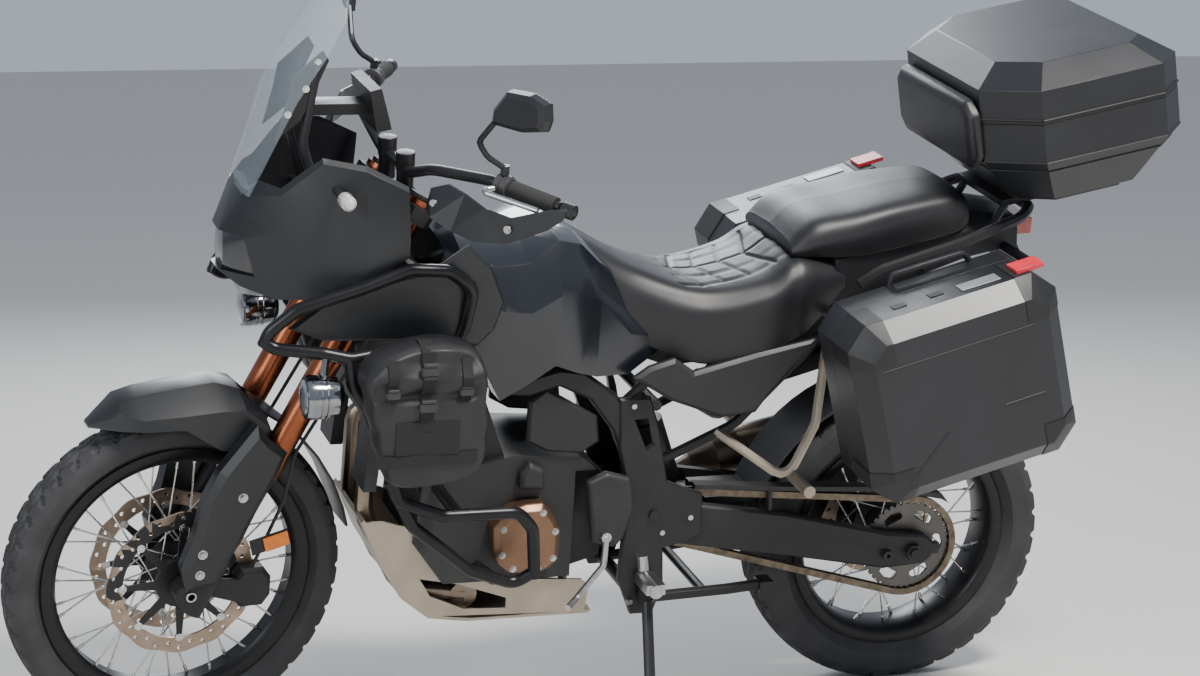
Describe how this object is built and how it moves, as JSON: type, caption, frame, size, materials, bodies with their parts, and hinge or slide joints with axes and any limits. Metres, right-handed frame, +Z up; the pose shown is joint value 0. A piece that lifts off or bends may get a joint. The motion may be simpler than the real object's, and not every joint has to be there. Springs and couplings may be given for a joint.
{
  "type": "adventure motorcycle",
  "caption": "Adventure touring motorcycle with wire wheels, tall screen, crash bars, soft side bags, hard panniers and top box, leaning on its side stand.",
  "frame": {"origin": "bottom centre of the bounding box, on the ground under the parked machine", "axes": "+X forward, towards the front wheel, and +Z up"},
  "size_m": [2.381, 1.1488, 1.5594],
  "materials": {
    "alloy": "satin",
    "amber": "satin",
    "black_metal": "satin",
    "black_plastic": "satin",
    "bronze": "satin",
    "copper": "satin",
    "disc": "satin",
    "engine": "satin",
    "fabric": "satin",
    "gloss_plastic": "satin",
    "grey_plastic": "satin",
    "lamp": "satin",
    "leather": "satin",
    "red_lens": "satin",
    "rim": "satin",
    "rubber": "satin",
    "screen": "satin",
    "steel": "satin",
    "tyre": "satin"
  },
  "bodies": {
    "motorcycle": {"main_frame": "black_metal", "subframe": "black_metal", "engine": "engine", "engine_covers": "bronze", "radiator": "black_metal", "exhaust": "steel", "sump_guard": "alloy", "crash_bars": "black_metal", "side_bags": "fabric", "aux_lamps": "lamp", "fuel_tank": "gloss_plastic", "rider_seat": "leather", "pillion_seat": "leather", "tail_cover": "black_plastic", "side_panels": "grey_plastic", "nose_fairing": "gloss_plastic", "headlamps": "lamp", "side_shrouds": "gloss_plastic", "instruments": "black_plastic", "windscreen": "screen", "turn_signals": "amber", "pannier_left": "black_plastic", "pannier_right": "black_plastic", "topbox_base": "black_plastic", "backrest_pad": "leather", "luggage_racks": "black_metal", "tail_light": "red_lens", "plate_holder": "black_plastic", "swingarm": "black_metal", "rear_caliper": "black_metal", "chain": "steel", "rear_guards": "black_plastic", "shock": "black_metal", "foot_pegs": "steel", "pillion_pegs": "steel"},
    "steering": {"triple_clamps": "black_metal", "fork_tubes": "copper", "fork_lowers": "black_metal", "front_axle": "steel", "front_calipers": "black_metal", "brake_hoses": "rubber", "front_fender": "black_plastic", "handlebar": "black_metal", "grips": "rubber", "handguards": "black_plastic", "mirrors": "black_plastic"},
    "front_wheel": {"front_tyre": "tyre", "front_wire_wheel": "rim", "front_discs": "disc"},
    "rear_wheel": {"rear_tyre": "tyre", "rear_wire_wheel": "rim", "rear_disc": "disc", "rear_sprocket": "steel"},
    "side_stand_leg": {"side_stand": "black_metal"},
    "centre_stand_legs": {"centre_stand": "black_metal"},
    "top_box_lid": {"topbox_lid": "gloss_plastic"},
    "left_pannier_lid": {"pannier_lid_left": "black_plastic"},
    "right_pannier_lid": {"pannier_lid_right": "black_plastic"}
  },
  "joints": [
    {"name": "steering_turn", "type": "hinge", "parent": "motorcycle", "child": "steering", "pos_m": [0.45305, -0.03472, 0.96029], "axis": [-0.4617, 0.1692, 0.8707], "range_deg": [-47, 33]},
    {"name": "front_wheel_spin", "type": "hinge", "parent": "steering", "child": "front_wheel", "pos_m": [0.84758, -0.14754, 0.34153], "axis": [-0.1081, 0.9636, -0.2446], "continuous": true},
    {"name": "rear_wheel_spin", "type": "hinge", "parent": "motorcycle", "child": "rear_wheel", "pos_m": [-0.72203, -0.15735, 0.32938], "axis": [0, 0.9816, -0.1908], "continuous": true},
    {"name": "side_stand_fold", "type": "hinge", "parent": "motorcycle", "child": "side_stand_leg", "pos_m": [-0.11003, 0.00366, 0.25632], "axis": [0.2764, 0.8508, 0.4469], "range_deg": [0, 88]},
    {"name": "centre_stand_fold", "type": "hinge", "parent": "motorcycle", "child": "centre_stand_legs", "pos_m": [-0.11003, -0.1709, 0.25969], "axis": [0, -0.9816, 0.1908], "range_deg": [0, 96]},
    {"name": "top_box_lid_hinge", "type": "hinge", "parent": "motorcycle", "child": "top_box_lid", "pos_m": [-1.18007, 0.0404, 1.34673], "axis": [0, -0.9816, 0.1908], "range_deg": [0, 85]},
    {"name": "left_pannier_lid_hinge", "type": "hinge", "parent": "motorcycle", "child": "left_pannier_lid", "pos_m": [-0.72745, 0.23167, 0.54883], "axis": [-0.9636, 0.051, 0.2623], "range_deg": [0, 80]},
    {"name": "right_pannier_lid_hinge", "type": "hinge", "parent": "motorcycle", "child": "right_pannier_lid", "pos_m": [-0.72745, -0.43584, 0.67858], "axis": [0.9636, -0.051, -0.2623], "range_deg": [0, 80]}
  ]
}
